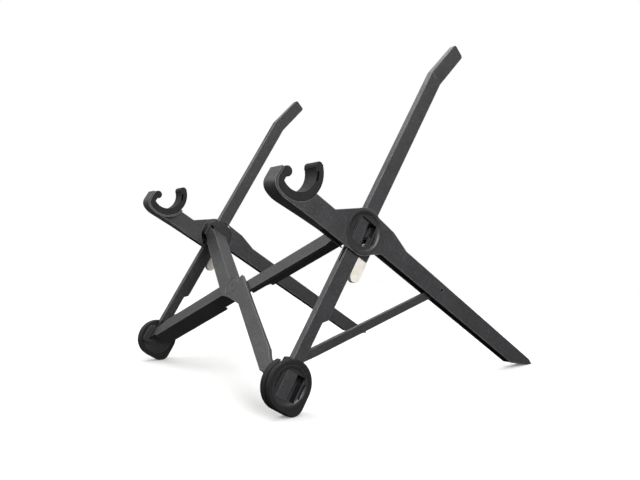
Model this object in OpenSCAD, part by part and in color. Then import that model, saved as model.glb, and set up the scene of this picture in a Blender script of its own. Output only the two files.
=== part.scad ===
// Folding stand that holds a notebook computer or a tablet above the desk.
// Two side frames are joined by a pair of crossed bars.  Each side frame has a mast on a round
// foot, a slider that runs on the mast, and a leg that turns on the slider.  The leg carries a
// grip hook at the front and stands on the desk at the back.
// Frame: +X to the user's right, +Y to the back, +Z up, origin on the desk under the middle.
// A side frame is drawn in its own plane: x = rearward across the mast, y = up the mast,
// z = outward, with the centre of the foot as origin.

/* [Overall] */
// Distance between the middle planes of the two side frames
frame_gap = 206.4; // [190:0.2:215]
// Lean of the mast above the desk, in degrees
mast_angle = 57.5; // [56:0.1:59]
// Distance from the foot centre to the slider centre when the stand is open
slider_rise = 106.4; // [104:0.1:110]
// Distance between the middle planes of the side frames when folded
folded_gap = 18.4; // [18.4:0.1:22]

/* [Mast] */
// Depth of the mast, front edge to rear edge
mast_depth = 11.2; // [11:0.1:11.4]
// Thickness of the mast across the stand
mast_t = 4.9; // [4.6:0.1:5]
// Wall of the mast's channel
mast_wall = 1.1; // [1:0.05:1.2]
// Height of the bend above the foot centre, along the mast
bend_at = 236.5; // [230:0.5:238]
// Length of the tip beyond the bend
tip_length = 35.5; // [28:0.5:35.5]
// Angle of the bend, in degrees
bend_angle = 13; // [8:0.5:15]

/* [Foot] */
// Outer radius of the rubber foot
foot_r = 15.9; // [15:0.1:15.9]
// Rounding of the foot's square corner
foot_corner_r = 7.5; // [6:0.1:9]
// Radius of the hub that the rubber is pressed on
foot_hub_r = 12.4; // [11.6:0.1:12.6]

/* [Leg] */
// Outer radius of the leg around the slider
leg_hub_r = 15.6; // [15.2:0.1:16]
// Radius of the slider boss that the leg turns on
boss_r = 14; // [13.6:0.1:14.2]
// Wall of the leg's inner cheek
leg_wall = 1.2; // [1.1:0.05:1.3]
// Distance along the leg from the slider centre to the strut pivot
strut_hole_d = 83.85; // [80:0.05:86]
// Height of the strut pivot above the leg's axis
strut_hole_n = 4.4; // [4:0.1:4.6]

/* [Grip] */
// Distance along the leg from the slider centre to the grip centre
grip_d = 61.2; // [60:0.1:66]
// Inner radius of the grip
grip_in_r = 12.3; // [11:0.1:13]
// Outer radius of the grip
grip_out_r = 18; // [17.5:0.1:18.8]
// Distance from the grip centre to the flat front of the hook
hook_flat = 11.8; // [11:0.1:13]
// Wall of the cup around the grip
cup_wall = 1.7; // [1.5:0.1:2]

/* [Cross bars] */
// Width of a cross bar
bar_w = 11.4; // [10.5:0.1:11.4]
// Offset of a bar's pivots inboard from the middle plane of the side frame
pivot_inset = 2.8; // [2.6:0.1:3]
// Depth of a bar's flange behind its front face
flange_depth = 14.8; // [10:0.1:14.8]

/* [Hidden] */
$fn = 64;
far = 400;
gap = 0.25;
slip = 0.06;

// Colours
charcoal = [0.25, 0.25, 0.26];
black = [0.11, 0.11, 0.11];
ivory = [0.86, 0.84, 0.80];
steel = [0.62, 0.63, 0.65];

// Placement of the side frames
frame_x = frame_gap / 2;
mast_front = -mast_depth / 2;
mast_rear = mast_depth / 2;
mast_half = mast_t / 2;
foot_flat = 0.3;
foot_z = (foot_r - foot_corner_r) * (sin(mast_angle) + cos(mast_angle)) + foot_corner_r - foot_flat;
leg_corner_n = 6.5;
leg_reach = (foot_z + (slider_rise + leg_corner_n) * sin(mast_angle)) / cos(mast_angle) + 0.8;
grip_n = 3.2;
cup_r = grip_out_r + cup_wall;
slider_y = slider_rise * cos(mast_angle);
rear_y = slider_y + leg_reach * sin(mast_angle) + leg_corner_n * cos(mast_angle);
foot_y = (foot_r - rear_y) / 2;

// Cross bar linkage: pivots at the feet and at the sliders
pivot_x = frame_x - pivot_inset;
fold_x = folded_gap / 2 - pivot_inset;
bar_len = sqrt(pow(2 * pivot_x, 2) + pow(slider_rise, 2));
folded_rise = sqrt(pow(bar_len, 2) - pow(2 * fold_x, 2));
open_tilt = atan2(slider_rise, 2 * pivot_x);
fold_turn = atan2(folded_rise, 2 * fold_x) - open_tilt;
eye_r = 3.7;
bar_pin_r = 1.25;
strip_gap = 0.25;
flange_t = 1.8;
// Layers of the two bars in front of the masts, as [front, back] depths from the mast axis
front_layer = [11.4, 8.5];
rear_layer = [8.2, 6.1];

// Lateral levels of a side frame
cheek_in = mast_half + gap;
plate_out = 4.1;
cheek_out = -cheek_in - leg_wall;
hook_in = -9;
housing_in = -6.9;
slot_out = 1.25;

// Strut: hinged on the mast near the foot, its upper end lies in the leg's channel
strut_p = -1.4;
strut_half = 3;
strut_t = 2.3;
strut_pin_r = 1;
open_a = slider_rise + strut_hole_n;
fold_a = folded_rise - strut_hole_d;
run_open = strut_hole_d - strut_p;
run_fold = strut_hole_n - strut_p;
strut_m = (pow(run_fold, 2) - pow(run_open, 2) + pow(fold_a, 2) - pow(open_a, 2))
          / (2 * (fold_a - open_a));
strut_len = sqrt(pow(run_open, 2) + pow(open_a - strut_m, 2));
strut_tilt = atan2(open_a - strut_m, run_open);

// Lock lever: its pin sits on the slider behind the mast
lever_pin_p = 9.6;
lever_pin_m = -6.5;
lever_pin_r = 1;
lever_half = 1.9;

// ---------- placement ----------

// Puts a part drawn in the side plane on the right (side = 1) or the left (side = -1)
module on_side(side) {
    if (side > 0) {
        translate([frame_x, foot_y, foot_z]) rotate([90, 0, 90]) rotate(mast_angle - 90) children();
    } else {
        mirror([1, 0, 0]) translate([frame_x, foot_y, foot_z]) rotate([90, 0, 90])
            rotate(mast_angle - 90) children();
    }
}

// Same, with the slider centre as origin
module on_slider(side) {
    on_side(side) translate([0, slider_rise, 0]) children();
}

// Puts a part drawn in the plane of the cross bars: x across, y up the masts, z forward
module on_bars() {
    translate([0, foot_y, foot_z]) rotate([mast_angle, 0, 0]) children();
}

// ---------- shared shapes ----------

// Slab between two levels, from a flat outline
module slab(z0, z1) {
    translate([0, 0, z0]) linear_extrude(z1 - z0) children();
}

// Box between two corners
module box(low, high) {
    translate(low) cube(high - low);
}

// Round foot outline with one square corner, rounded, that points down and back
module foot_outline(r, corner) {
    circle(r);
    translate([r - corner, corner - r]) circle(corner);
    translate([0, -r]) square([r - corner, r]);
    translate([0, corner - r]) square([r, r - corner]);
}

// Wedge of a circle around the grip centre, between two angles of the leg's frame
module wedge(a0, a1, steps = 8) {
    polygon(concat([[0, 0]], [for (i = [0:steps])
        60 * [cos(a0 + (a1 - a0) * i / steps), sin(a0 + (a1 - a0) * i / steps)]]));
}

// Ring between two radii
module ring(r_in, r_out) {
    difference() {
        circle(r_out);
        circle(r_in);
    }
}

// ---------- mast ----------

module mast_outline() {
    foot_p = 2.4;
    foot_ramp = mast_rear - foot_p;
    step_p = 1.3;
    notch_0 = slider_rise - 9.5;
    notch_1 = slider_rise + 10;
    ramp = mast_rear - step_p;
    mitre = mast_rear * tan(bend_angle / 2);
    difference() {
        polygon([[mast_front, -9.5], [foot_p, -9.5], [foot_p, 42], [mast_rear, 42 + foot_ramp],
                 [mast_rear, bend_at - mitre], [mast_front, bend_at + mitre]]);
        polygon([[step_p, notch_0], [far, notch_0], [far, notch_1 + far], [step_p, notch_1]]);
    }
    // The notch keeps the rear edge above its ramp
    polygon([[mast_front + 1, notch_1 + ramp], [mast_rear, notch_1 + ramp],
             [mast_rear, bend_at - mitre], [mast_front + 1, bend_at - mitre]]);
    polygon([[step_p, notch_1], [mast_rear, notch_1 + ramp], [mast_front + 1, notch_1 + ramp],
             [mast_front + 1, notch_1]]);
    translate([0, bend_at]) rotate(-bend_angle) {
        polygon([[mast_front, -mitre], [mast_rear, mitre], [mast_rear, tip_length - 2],
                 [mast_front, tip_length - 2]]);
        translate([mast_front + 2, tip_length - 3]) square([mast_depth - 4, 3]);
        for (p = [mast_front + 2, mast_rear - 2]) translate([p, tip_length - 2]) circle(2);
    }
}

module mast(side) {
    inner = mast_half - mast_wall;
    color(charcoal) on_side(side) difference() {
        slab(-mast_half, mast_half) mast_outline();
        box([mast_front + mast_wall, 5, -inner], [far, 150, inner]);
        translate([strut_p, strut_m, 0]) cylinder(r = strut_pin_r, h = far, center = true);
        // Slot in the front wall that the lock drops into
        box([mast_front - 1, slider_rise - 25, -0.8], [mast_front + 2, slider_rise - 15, 0.8]);
    }
}

module right_mast() { mast(1); }
module left_mast() { mast(-1); }

// ---------- cross bar sockets ----------

// Block that holds the end of a cross bar in front of the mast, rounded with the foot
module bar_housing(reach) {
    intersection() {
        box([-13.5, -reach, housing_in], [mast_front - gap, reach, slot_out + 0.2]);
        cylinder(r = 14.2, h = far, center = true);
    }
}

// Room for the bar's end: turn = 1 when the bar leaves up the mast, -1 when it leaves down
module bar_slot(layer, turn) {
    y0 = turn > 0 ? -eye_r - gap : -far;
    y1 = turn > 0 ? far : eye_r + gap;
    box([-layer[0] - 0.2, y0, -far], [-layer[1] + 0.5, y1, slot_out]);
}

// Bore of the bar's pivot pin, along the depth of the mast
module bar_pin_bore() {
    translate([-13.3, 0, -pivot_inset]) rotate([0, 90, 0]) cylinder(r = bar_pin_r, h = 13.3 - 5.9);
}

module bar_pin(side, at, end) {
    color(steel) on_side(side) translate([-13.3, at, -pivot_inset]) rotate([0, 90, 0])
        cylinder(r = bar_pin_r, h = 13.3 - end);
}

module right_foot_bar_pin() { bar_pin(1, 0, 7.2); }
module left_foot_bar_pin() { bar_pin(-1, 0, 6); }
module right_slider_bar_pin() { bar_pin(1, slider_rise, 6); }
module left_slider_bar_pin() { bar_pin(-1, slider_rise, 7.2); }

// ---------- foot ----------

// Room for the mast and the strut in the foot
module foot_socket() {
    box([mast_front, -9.6, -mast_half], [6.2, far, mast_half]);
    box([mast_front, 4, -mast_half], [9.5, far, mast_half]);
}

module foot_hub(side, layer) {
    face = 3.7;
    color(black) on_side(side) difference() {
        union() {
            translate([0, 0, -4.3]) cylinder(r = foot_hub_r, h = 4.3 + face);
            bar_housing(7);
        }
        foot_socket();
        // Dished face with its window
        translate([0, 0, face - 0.9]) cylinder(r1 = 9.8, r2 = 11.4, h = 0.91);
        box([-6.4, -8, mast_half], [7.8, 8, far]);
        box([2, -8, -mast_half], [7.8, 8, far]);
        for (p = [-8.9, 9.6]) box([p - 0.4, -4.5, 1.4], [p + 0.4, 4.5, far]);
        bar_slot(layer, 1);
        bar_pin_bore();
    }
}

module right_foot_hub() { foot_hub(1, front_layer); }
module left_foot_hub() { foot_hub(-1, rear_layer); }

module foot_shoe(side, layer) {
    color(black) on_side(side) difference() {
        union() {
            slab(-4.3, 0.3) foot_outline(foot_r, foot_corner_r);
            slab(0.3, 1.1) foot_outline(foot_r - 1.1, foot_corner_r - 0.8);
            slab(1.1, 3.5) foot_outline(foot_r - 0.3, foot_corner_r);
            slab(3.5, plate_out) foot_outline(foot_r - 0.8, foot_corner_r);
        }
        cylinder(r = foot_hub_r, h = far, center = true);
        bar_housing(7);
        bar_slot(layer, 1);
        box([mast_front - 0.3, 0, -mast_half - 0.2], [9.5, far, mast_half + 0.2]);
        // Flat where the foot stands on the desk
        rotate(90 - mast_angle) box([-far, -far, -far], [far, -foot_z, far]);
    }
}

module right_foot_shoe() { foot_shoe(1, front_layer); }
module left_foot_shoe() { foot_shoe(-1, rear_layer); }

// ---------- slider ----------

module slider(side, layer) {
    color(black) on_slider(side) difference() {
        union() {
            translate([0, 0, -4.2]) cylinder(r = boss_r - 0.4, h = 4.2 + plate_out);
            translate([0, 0, cheek_in - 0.1]) cylinder(r = boss_r, h = plate_out - cheek_in + 0.1);
            translate([0, 0, 1.5]) cylinder(r = boss_r + 1, h = cheek_in - 1.6);
            translate([0, 0, plate_out + 0.1]) cylinder(r = boss_r + 0.5, h = 0.35);
            translate([0, 0, plate_out - 0.2]) cylinder(r = boss_r, h = 0.35);
            bar_housing(6.5);
            // Skirt that guards the lock lever
            box([mast_rear + gap, -15.2, -2.4], [13.4, 0, 2.4]);
        }
        box([mast_front - gap, -far, -cheek_in], [mast_rear + gap, far, cheek_in]);
        // Relief for the bend of the mast, which the folded slider reaches
        box([mast_front - gap, 7.5, -cheek_in], [mast_rear + 1.8, far, cheek_in]);
        // Dished face inside the raised rim
        translate([0, 0, plate_out - 0.35]) cylinder(r1 = 11.6, r2 = 12.9, h = 0.81);
        // Window that shows the mast, with a deeper gap behind the mast
        box([-6.2, -8.4, mast_half], [7.6, 8.4, far]);
        box([mast_rear, 0, -1], [7.6, 8.4, far]);
        for (p = [-8.6, 9.4]) box([p - 0.4, -4.6, 2.2], [p + 0.4, 4.6, far]);
        bar_slot(layer, -1);
        bar_pin_bore();
        // Slot and pin bore of the lock lever
        box([mast_rear, -far, -lever_half - 0.2], [far, -2.4, lever_half + 0.2]);
        translate([lever_pin_p, lever_pin_m, -4.2]) cylinder(r = lever_pin_r, h = 7.4);
    }
}

module right_slider() { slider(1, rear_layer); }
module left_slider() { slider(-1, front_layer); }

// ---------- lock lever ----------

module lock_lever(side) {
    color(ivory) on_slider(side) difference() {
        slab(-lever_half, lever_half) {
            translate([lever_pin_p, lever_pin_m]) circle(3.1);
            translate([lever_pin_p - 3.1, -16]) square([6.2, 16 + lever_pin_m]);
            translate([6.1, -27.3]) square([8.2, 12.3]);
            translate([10.2, -27.3]) circle(4.1);
        }
        translate([lever_pin_p, lever_pin_m, 0]) {
            cylinder(r = lever_pin_r + slip, h = far, center = true);
            translate([0, 0, 0.4]) cylinder(r = 2.6, h = far);
        }
    }
}

module right_lock_lever() { lock_lever(1); }
module left_lock_lever() { lock_lever(-1); }

module lever_pin(side) {
    color(steel) on_slider(side) translate([lever_pin_p, lever_pin_m, -4.2])
        cylinder(r = lever_pin_r, h = 7.4);
}

module right_lever_pin() { lever_pin(1); }
module left_lever_pin() { lever_pin(-1); }

// Three close turns of wire around the lever's pin
module lever_spring(side) {
    wire = 0.28;
    color(steel) on_slider(side) translate([lever_pin_p, lever_pin_m, 0.75])
        for (i = [0:2]) translate([0, 0, i * 1.5 * wire])
            rotate_extrude($fn = 32) translate([1.9, 0]) circle(wire, $fn = 16);
}

module right_lever_spring() { lever_spring(1); }
module left_lever_spring() { lever_spring(-1); }

// ---------- leg ----------

// Side view of the leg in its own frame: x along the leg to the rear, y across it
module leg_outline() {
    circle(leg_hub_r);
    polygon([[0, 0], [6, 14.4], [22.2, 13.6], [39, 9.1], [leg_reach - 6, 8.4],
             [leg_reach, leg_corner_n], [leg_reach - 1.2, leg_corner_n - 1.6],
             [leg_reach - 26, -4.4], [20, -4.6], [11.5, -10.5]]);
    polygon([[0, 0], [-9.2, 12.4], [-27.3, -1.1], [-grip_d, -1.1], [-grip_d, grip_n - cup_r],
             [-40, -15.8], [-2, -leg_hub_r + 0.1]]);
    translate([-grip_d, grip_n]) hook_round(cup_r, hook_flat, 347);
}

// Unit vector at an angle
function ray(a) = [cos(a), sin(a)];

// Round hook with a flat front, blended into the round, up to the angle where it ends
module hook_round(r, front, last) {
    blend = 7;
    centre = [blend - front, -sqrt(pow(r - blend, 2) - pow(front - blend, 2))];
    turn = 360 + atan2(centre[1], centre[0]);
    polygon(concat([for (i = [0:8]) centre + blend * ray(180 + (turn - 180) * i / 8)],
                   [for (i = [1:28]) r * ray(turn + (last - turn) * i / 28)],
                   [[-front, r * sin(last)]]));
}

// The band under the front arm is as wide as the grip at the hook and narrows to the rear
module band_limits() {
    rotate([90, 0, 0]) linear_extrude(far, center = true)
        polygon([[-far, hook_in], [-grip_d + 2, hook_in], [-27, cheek_out], [-27, plate_out],
                 [-far, plate_out]]);
}

module leg(side) {
    color(charcoal) on_slider(side) difference() {
        union() {
            // Outer plate, and the inner cheek that stays clear of the slider
            slab(cheek_in, plate_out) leg_outline();
            slab(cheek_out, -cheek_in) difference() {
                leg_outline();
                circle(boss_r + 0.6);
                intersection() {
                    circle(leg_hub_r + 0.8);
                    translate([-far, -far]) square([far, 2 * far]);
                }
                // Keeps clear of the folded cross bar
                translate([0, -far - 5.4]) square(far);
            }
            // Top web of the rear arm, which is open below
            slab(-cheek_in - 0.1, cheek_in + 0.1) intersection() {
                difference() {
                    leg_outline();
                    translate([-0.4, -1.1]) leg_outline();
                }
                translate([38, -20]) square([far, 60]);
            }
            // Solid end that stands on the desk, and clears the narrow foot of the folded mast
            slab(-cheek_in - 0.1, cheek_in + 0.1) intersection() {
                leg_outline();
                translate([leg_reach - 14, 2.7]) square(40);
            }
            // Bottom web of the front arm, which is open above
            intersection() {
                slab(hook_in, plate_out) intersection() {
                    difference() {
                        leg_outline();
                        translate([0, 1.3]) leg_outline();
                    }
                    translate([-grip_d, -30]) square([grip_d - 27, 25]);
                }
                band_limits();
            }
            // Cup around the grip
            slab(hook_in, plate_out) translate([-grip_d, grip_n]) hook_round(cup_r, hook_flat, 347);
        }
        cylinder(r = boss_r + 0.05, h = far, center = true);
        translate([-grip_d, grip_n, 0]) linear_extrude(far, center = true)
            hook_round(grip_out_r, hook_flat - cup_wall, 408);
        // Slit between the band and the outer plate
        box([-48, -18, 1.9], [-27, -12.9, cheek_in]);
        translate([strut_hole_d, strut_hole_n, 0])
            cylinder(r = strut_pin_r + 0.35, h = far, center = true);
        // Flat where the leg stands on the desk
        translate([0, -slider_rise, 0]) rotate(90 - mast_angle)
            box([-far, -far, -far], [far, -foot_z, far]);
    }
}

module right_leg() { leg(1); }
module left_leg() { leg(-1); }

// ---------- grip ----------

module grip(side) {
    mid = (grip_in_r + grip_out_r) / 2;
    half = (grip_out_r - grip_in_r) / 2;
    front = hook_flat - cup_wall;
    color(black) on_slider(side) translate([-grip_d, grip_n, 0]) difference() {
        slab(hook_in + 0.2, plate_out - 0.4) {
            intersection() {
                hook_round(grip_out_r, front, 408);
                union() {
                    difference() {
                        wedge(232, 408, 12);
                        circle(grip_in_r);
                    }
                    // Straight front arm
                    translate([-front - 1, -14.2]) square([5.4, 9.6]);
                }
            }
            rotate(408) translate([mid, 0]) circle(half - 0.1);
            // Round tip that leans over the mouth
            translate([-6.75, -4.9]) circle(3.25);
        }
        // Slot that lets the horn give
        linear_extrude(far, center = true) intersection() {
            ring(mid - 2, mid - 0.8);
            wedge(369, 395);
        }
        // Pocket that takes the tip of the folded mast
        slab(-cheek_in, cheek_in) intersection() {
            ring(grip_out_r - 2.6, grip_out_r + 1);
            wedge(345, 400);
        }
    }
}

module right_grip() { grip(1); }
module left_grip() { grip(-1); }

// ---------- strut ----------

module strut(side) {
    taper = 14;
    low_half = 2.5;
    color(charcoal) on_side(side) translate([strut_p, strut_m, 0]) rotate(strut_tilt) difference() {
        slab(-strut_t / 2, strut_t / 2) {
            circle(low_half);
            polygon([[0, -low_half], [taper, -strut_half], [strut_len, -strut_half],
                     [strut_len, strut_half], [taper, strut_half], [0, low_half]]);
            translate([strut_len, 0]) circle(strut_half);
        }
        cylinder(r = strut_pin_r + slip, h = far, center = true);
        translate([strut_len, 0, 0]) cylinder(r = strut_pin_r, h = far, center = true);
    }
}

module right_strut() { strut(1); }
module left_strut() { strut(-1); }

module strut_foot_pin(side) {
    color(steel) on_side(side) translate([strut_p, strut_m, 0])
        cylinder(r = strut_pin_r, h = mast_t, center = true);
}

module right_strut_foot_pin() { strut_foot_pin(1); }
module left_strut_foot_pin() { strut_foot_pin(-1); }

module strut_leg_pin(side) {
    color(steel) on_slider(side) translate([strut_hole_d, strut_hole_n, 0])
        cylinder(r = strut_pin_r, h = strut_t + 0.2, center = true);
}

module right_strut_leg_pin() { strut_leg_pin(1); }
module left_strut_leg_pin() { strut_leg_pin(-1); }

// ---------- cross bars ----------

// One half of a bar, drawn folded: a flat strip beside the middle line that ends in an eye
module bar_strip() {
    end = folded_rise / 2;
    outer = bar_w + strip_gap;
    polygon([[-strip_gap, 0], [-strip_gap, end - 12], [eye_r - fold_x, end - 8],
             [eye_r - fold_x, end], [-fold_x - eye_r, end], [-fold_x - eye_r, end - 15],
             [-outer, end - 20.7], [-outer, 0]]);
    translate([-fold_x, end]) circle(eye_r);
}

// Plate where the front bar steps from one strip to the other, with slanted edges
module step_plate() {
    outer = bar_w + strip_gap;
    polygon([[-strip_gap, 13], [-outer, 13], [-outer, 4], [-9.8, -1.5], [-6.7, -7.2], [strip_gap, -26],
             [outer, -26], [outer, -14.4]]);
}

// Both halves of a bar: the upper one leans left, the lower one right
module bar(layer, flange_back, flange_start, step_at, bore) {
    end = folded_rise / 2;
    on_bars() translate([0, slider_rise / 2, 0]) rotate(fold_turn) difference() {
        union() {
            slab(layer[1], layer[0]) {
                children();
                for (a = [0, 180]) rotate(a) bar_strip();
            }
            for (a = [0, 180]) rotate(a) {
                box([-strip_gap - flange_t, step_at, flange_back], [-strip_gap, end - 10, layer[1] + 0.1]);
                box([-strip_gap - flange_t, flange_start, flange_back + 2.7],
                    [-strip_gap, step_at + 1, layer[1] + 0.1]);
            }
        }
        translate([0, 0, layer[1] - 1]) cylinder(r = bore, h = 6);
        for (a = [0, 180]) rotate(a) translate([-fold_x, end, layer[1] - 1])
            cylinder(r = bar_pin_r + slip, h = 6);
    }
}

// Runs from the right foot to the left slider and passes in front
module cross_bar_front() {
    color(charcoal) difference() {
        bar(front_layer, front_layer[0] - flange_depth, 17, 18, 2) step_plate();
        // Shallow ring around the rivet
        on_bars() translate([0, slider_rise / 2, front_layer[0] - 0.25]) linear_extrude(1) ring(7, 7.5);
    }
}

// Runs from the left foot to the right slider and passes behind
module cross_bar_rear() {
    color(charcoal) mirror([1, 0, 0])
        bar(rear_layer, rear_layer[0] - flange_depth, 8, 26, 2 + slip) circle(8);
}

module centre_rivet() {
    color(black) on_bars() translate([0, slider_rise / 2, 0]) {
        translate([0, 0, rear_layer[1] - 1.2]) cylinder(r = 2, h = front_layer[0] - rear_layer[1] + 1);
        translate([0, 0, rear_layer[1] - 1.2]) cylinder(r = 4, h = 1.1);
    }
}

right_mast();
left_mast();
right_foot_hub();
left_foot_hub();
right_foot_shoe();
left_foot_shoe();
right_slider();
left_slider();
right_leg();
left_leg();
right_grip();
left_grip();
right_lock_lever();
left_lock_lever();
right_lever_pin();
left_lever_pin();
right_lever_spring();
left_lever_spring();
right_strut();
left_strut();
right_strut_foot_pin();
left_strut_foot_pin();
right_strut_leg_pin();
left_strut_leg_pin();
cross_bar_front();
cross_bar_rear();
centre_rivet();
right_foot_bar_pin();
left_foot_bar_pin();
right_slider_bar_pin();
left_slider_bar_pin();
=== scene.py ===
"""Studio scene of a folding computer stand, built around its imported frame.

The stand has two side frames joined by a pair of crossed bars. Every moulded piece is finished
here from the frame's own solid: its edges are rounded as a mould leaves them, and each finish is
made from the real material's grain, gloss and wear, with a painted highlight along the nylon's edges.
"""

from __future__ import annotations

import logging
import math
from dataclasses import dataclass
from enum import Enum

import bpy
from mathutils import Matrix, Vector

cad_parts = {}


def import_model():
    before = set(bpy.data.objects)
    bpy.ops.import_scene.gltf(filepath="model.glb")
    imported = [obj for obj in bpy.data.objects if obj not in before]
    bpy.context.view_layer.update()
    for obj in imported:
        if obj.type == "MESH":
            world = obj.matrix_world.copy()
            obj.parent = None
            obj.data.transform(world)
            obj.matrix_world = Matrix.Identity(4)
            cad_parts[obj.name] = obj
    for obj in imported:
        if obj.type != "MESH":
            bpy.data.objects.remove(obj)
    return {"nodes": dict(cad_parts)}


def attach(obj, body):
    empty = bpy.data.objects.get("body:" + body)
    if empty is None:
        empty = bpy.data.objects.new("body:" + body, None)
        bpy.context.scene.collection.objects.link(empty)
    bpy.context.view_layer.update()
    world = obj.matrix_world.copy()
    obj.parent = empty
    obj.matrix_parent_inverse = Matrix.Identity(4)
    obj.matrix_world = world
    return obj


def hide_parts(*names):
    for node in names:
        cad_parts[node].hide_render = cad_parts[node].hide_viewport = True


log = logging.getLogger("stand")

MM = 0.001
# Corners of a mesh closer than this are one corner
WELD_MM = 0.002
# Faces that turn less than this are one flat face
FLAT_DEG = 0.4
# Edges that turn less than this are shaded smooth
SMOOTH_DEG = 30.0
# Share of a large face in the shading of its rounded edges, out of 100
FACE_WEIGHT = 100
# The point that the soft lights face, in metres
MIDDLE = (0.0, 0.0, 0.1)


class Side(Enum):
    """The two side frames, with the sign of their place along X."""

    RIGHT = 1
    LEFT = -1

    @property
    def word(self) -> str:
        """Returns the word that starts the names of this side's pieces."""
        return self.name.lower()


# ---------- small helpers ----------


def srgb(code: str) -> tuple[float, float, float, float]:
    """Turns an sRGB hex colour into the linear colour that a shader takes.

    Args:
        code: Six hex digits, such as "3c3c3e".

    Returns:
        Linear red, green, blue and an alpha of 1.
    """
    parts = [int(code[i:i + 2], 16) / 255 for i in (0, 2, 4)]
    red, green, blue = (p / 12.92 if p <= 0.04045 else ((p + 0.055) / 1.055) ** 2.4 for p in parts)
    return (red, green, blue, 1.0)


def per_mm(size_mm: float) -> float:
    """Returns the texture scale, in waves per metre, whose features are size_mm apart."""
    return 1.0 / (size_mm * MM)


def deselect_all() -> None:
    """Leaves object mode with nothing selected."""
    if bpy.context.mode != "OBJECT":
        bpy.ops.object.mode_set(mode="OBJECT")
    bpy.ops.object.select_all(action="DESELECT")


def take(piece: bpy.types.Object) -> None:
    """Makes a piece the only selected object and the active one."""
    deselect_all()
    piece.select_set(True)
    bpy.context.view_layer.objects.active = piece


def apply_modifiers(piece: bpy.types.Object) -> None:
    """Applies a piece's modifiers in order."""
    take(piece)
    for name in [modifier.name for modifier in piece.modifiers]:
        bpy.ops.object.modifier_apply(modifier=name)


def dress(piece: bpy.types.Object, material: bpy.types.Material) -> None:
    """Gives a piece one material on all of its faces."""
    if piece.data.materials:
        for index in range(len(piece.data.materials)):
            piece.data.materials[index] = material
    else:
        piece.data.materials.append(material)


# ---------- finishes ----------


class Shader:
    """A material's node tree with short calls for adding nodes and links."""

    def __init__(self, name: str) -> None:
        """Starts a material that has only an output and a principled shader.

        Args:
            name: The material's name.
        """
        self.material = bpy.data.materials.new(name)
        self.material.use_nodes = True
        self.tree = self.material.node_tree
        self.tree.nodes.clear()
        self.output = self.add("ShaderNodeOutputMaterial")
        self.surface = self.add("ShaderNodeBsdfPrincipled")
        self.link(self.surface, "BSDF", self.output, "Surface")
        self.place = self.add("ShaderNodeTexCoord")

    def add(self, kind: str, settings: dict | None = None, sockets: dict | None = None) -> bpy.types.Node:
        """Adds a node.

        Args:
            kind: Blender's type name of the node.
            settings: Attributes to set on the node.
            sockets: Input sockets to set, by name or index.

        Returns:
            The new node.
        """
        node = self.tree.nodes.new(kind)
        for key, value in (settings or {}).items():
            setattr(node, key, value)
        for key, value in (sockets or {}).items():
            node.inputs[key].default_value = value
        return node

    def link(self, source: bpy.types.Node, out: str | int, target: bpy.types.Node, into: str | int) -> None:
        """Links an output of one node to an input of another."""
        self.tree.links.new(source.outputs[out], target.inputs[into])

    def noise(self, size_mm: float, detail: float = 2.0, stretch: tuple = (1, 1, 1)) -> bpy.types.Node:
        """Adds a noise whose features are size_mm across, in the piece's own coordinates.

        Args:
            size_mm: Size of one feature in millimetres.
            detail: Number of finer layers.
            stretch: Scale of the pattern along each axis.

        Returns:
            The noise node.
        """
        mapping = self.add("ShaderNodeMapping")
        mapping.inputs["Scale"].default_value = stretch
        noise = self.add("ShaderNodeTexNoise", None, {"Scale": per_mm(size_mm), "Detail": detail})
        self.link(self.place, "Object", mapping, "Vector")
        self.link(mapping, "Vector", noise, "Vector")
        return noise

    def blend(self, mask: bpy.types.Node, out: str | int, low: tuple, high: tuple) -> bpy.types.Node:
        """Mixes two colours by a mask between them.

        Args:
            mask: Node that gives the mask.
            out: The mask's output.
            low: Colour where the mask is 0.
            high: Colour where the mask is 1.

        Returns:
            The mixing node, whose colour comes from output 2.
        """
        mix = self.add("ShaderNodeMix", {"data_type": "RGBA"})
        mix.inputs[6].default_value = low
        mix.inputs[7].default_value = high
        self.link(mask, out, mix, 0)
        return mix

    def range(self, source: bpy.types.Node, out: str | int, span: tuple, result: tuple) -> bpy.types.Node:
        """Maps a value from one span to another and clamps it.

        Args:
            source: Node that gives the value.
            out: Its output.
            span: Lowest and highest value that come in.
            result: What they become.

        Returns:
            The mapping node.
        """
        node = self.add("ShaderNodeMapRange", {"clamp": True}, {
            "From Min": span[0], "From Max": span[1], "To Min": result[0], "To Max": result[1]})
        self.link(source, out, node, "Value")
        return node

    def edge_mask(self, radius_mm: float, full: float) -> bpy.types.Node:
        """Finds the edges, which are paled for wear and a painted highlight: 0 on flat faces and 1 on an
        edge.

        Args:
            radius_mm: Width of the paled band on each side of the edge.
            full: Turn of the rounded normal at which the mask is 1.

        Returns:
            The mask node.
        """
        rounded = self.add("ShaderNodeBevel", {"samples": 6}, {"Radius": radius_mm * MM})
        flat = self.add("ShaderNodeNewGeometry")
        dot = self.add("ShaderNodeVectorMath", {"operation": "DOT_PRODUCT"})
        self.link(rounded, "Normal", dot, 0)
        self.link(flat, "Normal", dot, 1)
        return self.range(dot, "Value", (1.0, 1.0 - full), (0.0, 1.0))

    def bump(self, height: bpy.types.Node, out: str | int, depth_mm: float, strength: float,
             below: bpy.types.Node | None = None) -> bpy.types.Node:
        """Adds relief, on top of a coarser one if there is one.

        Args:
            height: Node that gives the height.
            out: Its output.
            depth_mm: Depth of the relief in millimetres.
            strength: Strength from 0 to 1.
            below: A bump node that this one lies on.

        Returns:
            The bump node.
        """
        node = self.add("ShaderNodeBump", None, {"Strength": strength, "Distance": depth_mm * MM})
        self.link(height, out, node, "Height")
        if below:
            self.link(below, "Normal", node, "Normal")
        return node


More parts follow.
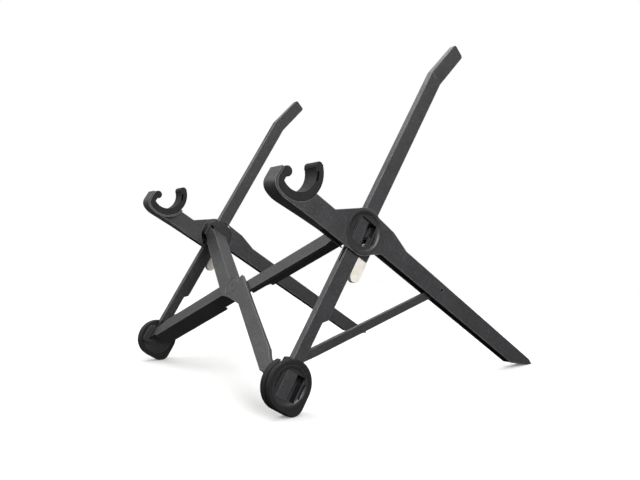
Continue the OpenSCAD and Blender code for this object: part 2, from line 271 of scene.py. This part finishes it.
@dataclass(frozen=True)
class MouldedNylon:
    """Glass-filled nylon from a spark-eroded mould: satin, dark, with paler edges, partly wear and partly a
    painted highlight.
    """

    name: str
    dark: str = "28282a"
    light: str = "303032"
    # Colour of the pale glass flecks, and of the edges, where it is partly wear and partly a painted
    # highlight
    fleck_wear_highlight: str = "7a7a7c"
    gloss_low: float = 0.36
    gloss_high: float = 0.50
    ior: float = 1.53
    # Slow drift of colour along the melt's flow
    flow_mm: float = 26.0
    # Glass fibres at the skin are about 0.2 mm long; they are drawn at 0.7 mm so that they show
    fibre_mm: float = 0.7
    fleck_share: float = 0.2
    # The mould's grit is about 0.05 mm; it is drawn at 0.45 mm so that it shows at this size
    grit_mm: float = 0.45
    grit_depth_mm: float = 0.07
    # Faint sink of the moulded wall over its ribs and webs
    sink_mm: float = 14.0
    sink_depth_mm: float = 0.12
    # Width of the paled band along an edge, partly wear and partly a painted highlight, and the size of the
    # patches that break it up
    edge_mm: float = 0.9
    patch_mm: float = 5.0
    mark_mm: float = 9.0

    def build(self) -> bpy.types.Material:
        """Makes the material.

        Returns:
            The finished material.
        """
        shader = Shader(self.name)
        surface = shader.surface
        surface.inputs["IOR"].default_value = self.ior
        flow = shader.noise(self.flow_mm, 3.0)
        drift = shader.range(flow, "Fac", (0.35, 0.65), (0.0, 1.0))
        body = shader.blend(drift, "Result", srgb(self.dark), srgb(self.light))
        fibre = shader.noise(self.fibre_mm, 2.0, (0.35, 1.0, 0.6))
        fleck = shader.range(fibre, "Fac", (0.54, 0.70), (0.0, self.fleck_share))
        flecked = shader.blend(fleck, "Result", srgb(self.dark), srgb(self.fleck_wear_highlight))
        shader.link(body, 2, flecked, 6)
        # Edges paled partly by handling wear and partly as a painted highlight, broken up so that they
        # aren't a drawn line
        edge = shader.edge_mask(self.edge_mm, 0.12)
        patches = shader.noise(self.patch_mm, 4.0)
        broken = shader.range(patches, "Fac", (0.36, 0.62), (0.35, 0.9))
        wear_and_highlight_mask = shader.add("ShaderNodeMath", {"operation": "MULTIPLY"})
        shader.link(edge, "Result", wear_and_highlight_mask, 0)
        shader.link(broken, "Result", wear_and_highlight_mask, 1)
        # Paler colour along the edges: partly wear, partly a painted highlight
        fleck_wear_highlight = shader.blend(wear_and_highlight_mask, "Value", srgb(self.dark), srgb(self.fleck_wear_highlight))
        shader.link(flecked, 2, fleck_wear_highlight, 6)
        shader.link(fleck_wear_highlight, 2, surface, "Base Color")
        # Handling marks change the gloss more than the colour
        marks = shader.noise(self.mark_mm, 5.0)
        gloss = shader.range(marks, "Fac", (0.3, 0.7), (self.gloss_low, self.gloss_high))
        shader.link(gloss, "Result", surface, "Roughness")
        wave = shader.noise(self.sink_mm, 1.0)
        sink = shader.bump(wave, "Fac", self.sink_depth_mm, 0.25)
        grit = shader.noise(self.grit_mm, 2.0)
        skin = shader.bump(grit, "Fac", self.grit_depth_mm, 0.8, sink)
        shader.link(skin, "Normal", surface, "Normal")
        return shader.material


@dataclass(frozen=True)
class MouldedRubber:
    """Thermoplastic rubber: near black, almost without gloss, with a trace of dust."""

    name: str
    black: str = "131314"
    dust: str = "403f3d"
    ior: float = 1.50
    # Matt rubber reflects less than its index alone gives
    sheen_level: float = 0.32
    dust_mm: float = 1.4
    bloom_mm: float = 7.0
    # The skin's grain is about 0.1 mm; it is drawn at 0.5 mm so that it shows
    grain_mm: float = 0.5
    grain_depth_mm: float = 0.04

    def build(self) -> bpy.types.Material:
        """Makes the material.

        Returns:
            The finished material.
        """
        shader = Shader(self.name)
        surface = shader.surface
        surface.inputs["IOR"].default_value = self.ior
        surface.inputs["Specular IOR Level"].default_value = self.sheen_level
        specks = shader.noise(self.dust_mm, 5.0)
        dust = shader.range(specks, "Fac", (0.52, 0.80), (0.0, 0.30))
        colour = shader.blend(dust, "Result", srgb(self.black), srgb(self.dust))
        shader.link(colour, 2, surface, "Base Color")
        bloom = shader.noise(self.bloom_mm, 3.0)
        gloss = shader.range(bloom, "Fac", (0.3, 0.7), (0.58, 0.74))
        shader.link(gloss, "Result", surface, "Roughness")
        grain = shader.noise(self.grain_mm, 2.0)
        skin = shader.bump(grain, "Fac", self.grain_depth_mm, 0.5)
        shader.link(skin, "Normal", surface, "Normal")
        return shader.material


@dataclass(frozen=True)
class NaturalAcetal:
    """Unfilled acetal: ivory, slightly translucent, with a soft waxy gloss."""

    name: str
    pale: str = "e9e6de"
    warm: str = "dcd7ca"
    ior: float = 1.48
    # Light passes about 2.5 mm into the resin
    depth_mm: float = 2.5
    glow_share: float = 0.35
    cloud_mm: float = 6.0
    # The mould's fine finish is drawn at 0.8 mm so that it shows
    grain_mm: float = 0.8
    grain_depth_mm: float = 0.02

    def build(self) -> bpy.types.Material:
        """Makes the material.

        Returns:
            The finished material.
        """
        shader = Shader(self.name)
        surface = shader.surface
        surface.inputs["IOR"].default_value = self.ior
        surface.inputs["Subsurface Weight"].default_value = self.glow_share
        surface.inputs["Subsurface Radius"].default_value = (1.0, 0.9, 0.75)
        surface.inputs["Subsurface Scale"].default_value = self.depth_mm * MM
        cloud = shader.noise(self.cloud_mm, 2.0)
        drift = shader.range(cloud, "Fac", (0.35, 0.65), (0.0, 1.0))
        colour = shader.blend(drift, "Result", srgb(self.pale), srgb(self.warm))
        shader.link(colour, 2, surface, "Base Color")
        gloss = shader.range(cloud, "Fac", (0.3, 0.7), (0.30, 0.42))
        shader.link(gloss, "Result", surface, "Roughness")
        grain = shader.noise(self.grain_mm, 2.0)
        skin = shader.bump(grain, "Fac", self.grain_depth_mm, 0.3)
        shader.link(skin, "Normal", surface, "Normal")
        return shader.material


@dataclass(frozen=True)
class DrawnSteel:
    """Bare steel pin or wire, ground or drawn, with fine lines round it."""

    name: str
    bright: str = "b9babd"
    dull: str = "8d8e91"
    rough: float = 0.30
    haze_mm: float = 2.0
    # Drawing lines are about 0.02 mm apart; they are drawn at 0.25 mm so that they show
    line_mm: float = 0.25
    line_depth_mm: float = 0.01

    def build(self) -> bpy.types.Material:
        """Makes the material.

        Returns:
            The finished material.
        """
        shader = Shader(self.name)
        surface = shader.surface
        surface.inputs["Metallic"].default_value = 1.0
        haze = shader.noise(self.haze_mm, 3.0)
        tone = shader.range(haze, "Fac", (0.35, 0.65), (0.0, 1.0))
        colour = shader.blend(tone, "Result", srgb(self.bright), srgb(self.dull))
        shader.link(colour, 2, surface, "Base Color")
        gloss = shader.range(haze, "Fac", (0.3, 0.7), (self.rough - 0.06, self.rough + 0.08))
        shader.link(gloss, "Result", surface, "Roughness")
        lines = shader.noise(self.line_mm, 2.0, (1.0, 0.2, 0.2))
        skin = shader.bump(lines, "Fac", self.line_depth_mm, 0.3)
        shader.link(skin, "Normal", surface, "Normal")
        return shader.material


@dataclass(frozen=True)
class StudioPaper:
    """White background paper, bright enough to leave only soft contact shadows."""

    name: str
    white: str = "d8d8d7"
    shade: str = "d4d4d3"
    glow: float = 0.24
    rough: float = 0.85
    fibre_mm: float = 3.0

    def build(self) -> bpy.types.Material:
        """Makes the material.

        Returns:
            The finished material.
        """
        shader = Shader(self.name)
        surface = shader.surface
        surface.inputs["Roughness"].default_value = self.rough
        surface.inputs["Emission Color"].default_value = srgb(self.white)
        surface.inputs["Emission Strength"].default_value = self.glow
        fibre = shader.noise(self.fibre_mm, 3.0)
        tone = shader.range(fibre, "Fac", (0.3, 0.7), (0.0, 1.0))
        colour = shader.blend(tone, "Result", srgb(self.white), srgb(self.shade))
        shader.link(colour, 2, surface, "Base Color")
        return shader.material


@dataclass
class Finishes:
    """The finishes of the stand, each made once."""

    nylon: bpy.types.Material
    hub_nylon: bpy.types.Material
    rubber: bpy.types.Material
    acetal: bpy.types.Material
    pin_steel: bpy.types.Material
    spring_steel: bpy.types.Material

    @classmethod
    def make(cls) -> "Finishes":
        """Makes every finish.

        Returns:
            The set of finishes.
        """
        return cls(
            nylon=MouldedNylon("satin_nylon").build(),
            # The hub's flecks and edges are paler too, the edges partly wear and partly a painted highlight
            hub_nylon=MouldedNylon("black_nylon", dark="1c1c1e", light="242426", fleck_wear_highlight="434345",
                                   gloss_low=0.34, gloss_high=0.46).build(),
            rubber=MouldedRubber("foot_rubber").build(),
            acetal=NaturalAcetal("ivory_acetal").build(),
            pin_steel=DrawnSteel("ground_steel").build(),
            spring_steel=DrawnSteel("spring_wire", bright="9c9da0", dull="747578", rough=0.36).build(),
        )


# ---------- moulded pieces ----------


@dataclass
class Moulding:
    """A moulded piece finished from its solid in the frame.

    The solid's sharp edges are rounded as a mould leaves them.
    """

    solid: bpy.types.Object
    body: str
    slot: str
    material: bpy.types.Material
    round_mm: float = 0.4
    whole_faces: bool = True
    clamped: bool = False
    sharp_deg: float = 34.0
    steps: int = 2

    def build(self) -> bpy.types.Object:
        """Makes the finished piece in place of the frame's solid.

        Returns:
            The new piece.
        """
        piece = bpy.data.objects.new(f"{self.solid.name}_moulding", self.solid.data.copy())
        bpy.context.scene.collection.objects.link(piece)
        self.clean(piece)
        self.round_edges(piece)
        dress(piece, self.material)
        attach(piece, self.body)
        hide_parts(self.solid.name)
        log.info("%s: %d faces", piece.name, len(piece.data.polygons))
        return piece

    def clean(self, piece: bpy.types.Object) -> None:
        """Joins the copy's loose triangles, and merges them into flat faces if whole_faces is set."""
        take(piece)
        bpy.ops.object.mode_set(mode="EDIT")
        bpy.ops.mesh.select_all(action="SELECT")
        bpy.ops.mesh.remove_doubles(threshold=WELD_MM * MM)
        if self.whole_faces:
            bpy.ops.mesh.dissolve_limited(angle_limit=math.radians(FLAT_DEG))
        bpy.ops.object.mode_set(mode="OBJECT")

    def round_edges(self, piece: bpy.types.Object) -> None:
        """Rounds the sharp edges and smooths the curved faces."""
        rounding = piece.modifiers.new("moulded_edges", "BEVEL")
        rounding.width = self.round_mm * MM
        rounding.segments = self.steps
        rounding.limit_method = "ANGLE"
        rounding.angle_limit = math.radians(self.sharp_deg)
        rounding.use_clamp_overlap = self.clamped
        rounding.miter_outer = "MITER_ARC"
        apply_modifiers(piece)
        take(piece)
        bpy.ops.object.shade_smooth_by_angle(angle=math.radians(SMOOTH_DEG))
        # Keeps the large faces flat and leaves the whole turn to the rounded edges
        flatness = piece.modifiers.new("flat_faces", "WEIGHTED_NORMAL")
        flatness.keep_sharp = True
        flatness.weight = FACE_WEIGHT
        apply_modifiers(piece)


@dataclass
class SideFrame:
    """One side frame: mast, foot, slider, leg, grip, lever and strut."""

    side: Side
    solids: dict[str, bpy.types.Object]
    finishes: Finishes

    def build(self) -> None:
        """Makes and dresses every piece of this side frame."""
        word, finish = self.side.word, self.finishes
        moulded = [
            ("mast", "frame", "nylon", finish.nylon, 0.35, True),
            ("foot_hub", "frame", "hub_nylon", finish.hub_nylon, 0.15, False),
            ("foot_shoe", "frame", "rubber", finish.rubber, 0.25, False),
            ("slider", "slide", "hub_nylon", finish.hub_nylon, 0.12, False),
            ("leg", "leg_arm", "nylon", finish.nylon, 0.3, True),
            ("grip", "leg_arm", "rubber", finish.rubber, 0.35, True),
            ("lock_lever", "lock", "acetal", finish.acetal, 0.45, True),
            ("strut", "brace", "nylon", finish.nylon, 0.35, True),
        ]
        for kind, body, slot, material, radius, whole in moulded:
            solid = self.solids[f"{word}_{kind}"]
            # Rounding that may overlap throws spikes off the leg's thin webs
            Moulding(solid, f"{word}_{body}", slot, material, radius, whole, kind == "leg").build()
        for kind in ("lever_pin", "strut_foot_pin", "strut_leg_pin", "foot_bar_pin", "slider_bar_pin"):
            dress(self.solids[f"{word}_{kind}"], finish.pin_steel)
        dress(self.solids[f"{word}_lever_spring"], finish.spring_steel)


@dataclass
class CrossBars:
    """The pair of crossed bars and the rivet that joins them."""

    solids: dict[str, bpy.types.Object]
    finishes: Finishes

    def build(self) -> None:
        """Makes and dresses both bars and their rivet."""
        finish = self.finishes
        solids = self.solids
        Moulding(solids["cross_bar_front"], "front_bar", "nylon", finish.nylon, 0.4).build()
        Moulding(solids["cross_bar_rear"], "rear_bar", "nylon", finish.nylon, 0.4).build()
        Moulding(solids["centre_rivet"], "front_bar", "hub_nylon", finish.hub_nylon, 0.25).build()


# ---------- studio ----------


@dataclass(frozen=True)
class SoftBox:
    """One rectangular soft light that faces the stand."""

    name: str
    place_m: tuple
    size_m: tuple
    watts: float

    def hang(self) -> None:
        """Hangs the light at its place and turns it to the stand."""
        deselect_all()
        bpy.ops.object.light_add(type="AREA", location=self.place_m)
        light = bpy.context.object
        light.name = self.name
        light.data.shape = "RECTANGLE"
        light.data.size, light.data.size_y = self.size_m
        light.data.energy = self.watts
        view = Vector(MIDDLE) - Vector(self.place_m)
        light.rotation_euler = view.to_track_quat("-Z", "Y").to_euler()


@dataclass
class Studio:
    """White paper, soft lights and the camera."""

    eye_mm: tuple = (383.7, -296.9, 102.95)
    heading_deg: float = 53.27
    tilt_deg: float = 0.08
    roll_deg: float = -0.29
    lens_mm: float = 32.22
    sensor_mm: float = 36.0
    # Half the side of the square of paper
    paper_m: float = 0.66
    # Height of the view's direction, from and to, and the room's strength there
    room_fade: tuple = (-0.4, 0.5, 0.10, 0.45)
    # A large light overhead, a key at the front left and a fill at the right
    soft_boxes: tuple = (
        SoftBox("overhead", (-0.1, 0.1, 1.3), (1.6, 1.6), 21.0),
        SoftBox("front_left", (-0.7, -1.0, 0.9), (0.9, 0.9), 8.5),
        SoftBox("side_right", (1.3, -0.1, 0.7), (0.9, 0.9), 19.0),
    )
    clip_m: tuple = (0.01, 50.0)

    def build(self) -> None:
        """Sets up the paper, the lights, the surroundings and the camera."""
        self.lay_paper()
        self.hang_lights()
        self.light_room()
        self.place_camera()

    def lay_paper(self) -> None:
        """Lays the paper on the floor."""
        deselect_all()
        bpy.ops.mesh.primitive_plane_add(size=2 * self.paper_m, location=(0, 0, 0))
        paper = bpy.context.object
        paper.name = "paper_floor"
        dress(paper, StudioPaper("studio_paper").build())
        # The stand sees the dim room below it instead of the glare of the paper
        paper.visible_diffuse = False
        paper.visible_glossy = False

    def hang_lights(self) -> None:
        """Hangs every soft light."""
        for box in self.soft_boxes:
            box.hang()

    def light_room(self) -> None:
        """Fills the room with soft light that fades towards the floor, in front of a white backdrop."""
        scene = bpy.context.scene
        scene.view_settings.view_transform = "Standard"
        scene.world = bpy.data.worlds.new("white_room")
        scene.world.use_nodes = True
        tree = scene.world.node_tree
        sky = tree.nodes["Background"]
        sky.inputs["Color"].default_value = (1.0, 1.0, 1.0, 1.0)
        place = tree.nodes.new("ShaderNodeTexCoord")
        parts = tree.nodes.new("ShaderNodeSeparateXYZ")
        fade = tree.nodes.new("ShaderNodeMapRange")
        rays = tree.nodes.new("ShaderNodeLightPath")
        backdrop = tree.nodes.new("ShaderNodeMix")
        for name, value in zip(("From Min", "From Max", "To Min", "To Max"), self.room_fade):
            fade.inputs[name].default_value = value
        backdrop.inputs["B"].default_value = 1.0
        tree.links.new(place.outputs["Generated"], parts.inputs["Vector"])
        tree.links.new(parts.outputs["Z"], fade.inputs["Value"])
        tree.links.new(rays.outputs["Is Camera Ray"], backdrop.inputs["Factor"])
        tree.links.new(fade.outputs["Result"], backdrop.inputs["A"])
        tree.links.new(backdrop.outputs["Result"], sky.inputs["Strength"])

    def place_camera(self) -> None:
        """Places the camera low in front of the right side frame, looking across the stand."""
        data = bpy.data.cameras.new("camera")
        data.lens = self.lens_mm
        data.sensor_width = self.sensor_mm
        data.clip_start, data.clip_end = self.clip_m
        camera = bpy.data.objects.new("camera", data)
        bpy.context.scene.collection.objects.link(camera)
        heading, tilt = math.radians(self.heading_deg), math.radians(self.tilt_deg)
        level = math.cos(tilt)
        forward = Vector((-math.sin(heading) * level, math.cos(heading) * level, math.sin(tilt)))
        turn = forward.to_track_quat("-Z", "Y").to_matrix().to_4x4()
        roll = Matrix.Rotation(math.radians(self.roll_deg), 4, "Z")
        camera.matrix_world = Matrix.Translation(Vector(self.eye_mm) * MM) @ turn @ roll
        bpy.context.scene.camera = camera


def main() -> None:
    """Builds the stand around its frame, then the studio, and reports each piece."""
    logging.basicConfig(level=logging.INFO, format="%(name)s: %(message)s")
    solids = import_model()["nodes"]
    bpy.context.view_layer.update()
    finishes = Finishes.make()
    for side in Side:
        SideFrame(side, solids, finishes).build()
    CrossBars(solids, finishes).build()
    Studio().build()


if __name__ == "__main__":
    main()
